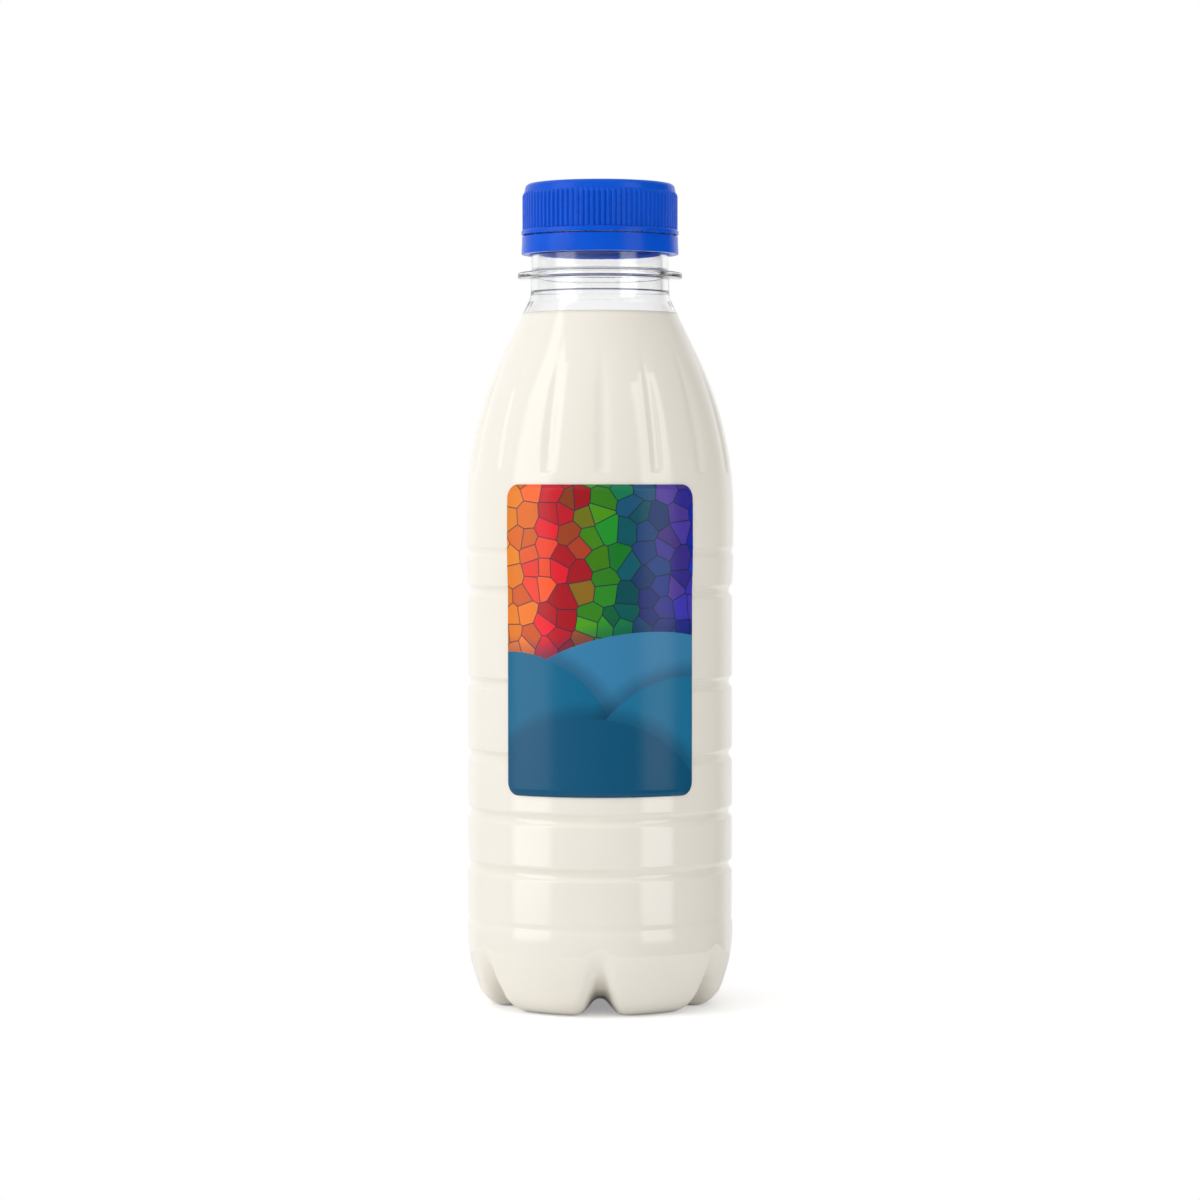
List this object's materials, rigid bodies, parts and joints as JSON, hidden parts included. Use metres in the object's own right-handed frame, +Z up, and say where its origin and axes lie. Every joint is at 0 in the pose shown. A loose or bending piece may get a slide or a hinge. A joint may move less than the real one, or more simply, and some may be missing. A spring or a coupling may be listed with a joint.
{
  "type": "laundry detergent bottle",
  "caption": "Clear ribbed plastic bottle of liquid detergent on a footed base, with a front label and a blue screw cap over a tamper band.",
  "frame": {"origin": "middle of the base, on the surface that the feet stand on", "axes": "+Z up along the bottle's axis; the label faces -Y and +X is to its right"},
  "size_m": [0.0668, 0.0669, 0.2045],
  "materials": {
    "clear_shell": "clear, glossy blown plastic",
    "liquid": "opaque creamy liquid",
    "blue_plastic": "moulded, satin",
    "seal_disc": "soft foam disc",
    "label_film": "printed film"
  },
  "bodies": {
    "bottle_body": {"bottle": "clear_shell", "liquid_detergent": "liquid", "tamper_band": "blue_plastic", "front_label": "label_film"},
    "seal_body": {"cap_liner": "seal_disc"},
    "cap_body": {"screw_cap": "blue_plastic"}
  },
  "joints": [
    {"name": "cap_lift", "type": "slide", "parent": "bottle_body", "child": "seal_body", "axis": [0, 0, 1], "range_m": [0, 0.018]},
    {"name": "cap_turn", "type": "hinge", "parent": "seal_body", "child": "cap_body", "pos_m": [0, 0, 0.198], "axis": [0, 0, 1], "range_deg": [0, 720]}
  ],
  "couplings": [
    {"joint": "cap_lift", "follows": "cap_turn", "m_per_rad": 0.0014324}
  ]
}
